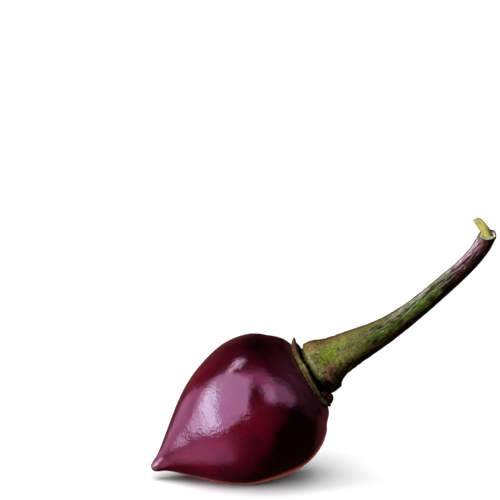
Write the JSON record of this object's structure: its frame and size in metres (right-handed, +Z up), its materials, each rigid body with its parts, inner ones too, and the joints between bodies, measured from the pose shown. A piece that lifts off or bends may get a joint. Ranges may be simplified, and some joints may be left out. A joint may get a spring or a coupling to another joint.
{
  "type": "biquinho pepper",
  "caption": "Small purple beaked chilli pepper as picked, lying on its belly, with a toothed calyx collar and a bent green stalk that ends in a cut face and a torn sliver.",
  "frame": {"origin": "centre of the small flat spot on the pod's belly, on which the pepper rests", "axes": "+Z up from the surface, +X from the beak towards the stalk's cut end, +Y away from the viewer of the picture"},
  "size_m": [0.0467, 0.0195, 0.0361],
  "materials": {
    "pod_skin": "gloss",
    "calyx_skin": "matte",
    "stalk_bark": "satin"
  },
  "bodies": {
    "root": {"pod": "pod_skin", "calyx": "calyx_skin", "stem": "stalk_bark"}
  },
  "joints": []
}
